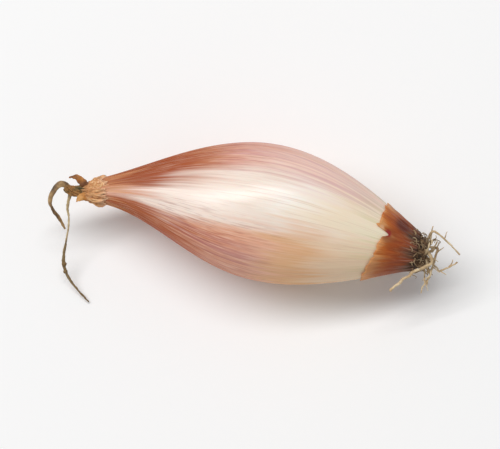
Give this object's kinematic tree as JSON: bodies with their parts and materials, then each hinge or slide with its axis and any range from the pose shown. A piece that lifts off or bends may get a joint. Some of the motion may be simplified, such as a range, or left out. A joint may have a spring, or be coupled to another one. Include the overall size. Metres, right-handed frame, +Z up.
{
  "type": "banana shallot",
  "caption": "Long banana shallot lying on its side, mostly peeled: pale pink flesh with a torn cup of dry brown skin and roots at one end and a withered neck at the other.",
  "frame": {"origin": "the middle of the small flat spot that the bulb rests on, under its widest place", "axes": "+Z up, +X along the bulb from the neck towards the roots, +Y to the side that the bulb's middle bows towards"},
  "size_m": [0.1004, 0.0442, 0.0304],
  "materials": {
    "peeled_flesh": "smooth, moist satin skin of a fleshy scale: cream and pale pink with fine lengthwise veins, terracotta towards the neck",
    "dry_skin": "dry papery outer skin, satin, orange at its torn edge and dark red-brown towards the roots",
    "root_crust": "rough dark corky crust",
    "dry_root": "dry matt wiry roots",
    "papery_neck": "dry crumbling paper-thin leaf base, matt",
    "withered_leaf": "shrivelled dry leaf, matt brown and olive"
  },
  "bodies": {
    "root": {"bulb": "peeled_flesh", "torn_skin": "dry_skin", "root_plate": "root_crust", "root_01": "dry_root", "root_02": "dry_root", "root_03": "dry_root", "root_04": "dry_root", "root_05": "dry_root", "root_06": "dry_root", "root_07": "dry_root", "root_08": "dry_root", "root_09": "dry_root", "root_10": "dry_root", "root_11": "dry_root", "root_12": "dry_root", "root_13": "dry_root", "root_14": "dry_root", "root_15": "dry_root", "root_16": "dry_root", "root_17": "dry_root", "neck_collar": "papery_neck", "neck_stub": "withered_leaf", "dry_leaf_curl": "withered_leaf", "dry_leaf_thread": "withered_leaf", "dry_leaf_scrap_1": "papery_neck", "dry_leaf_scrap_2": "papery_neck"}
  },
  "joints": []
}
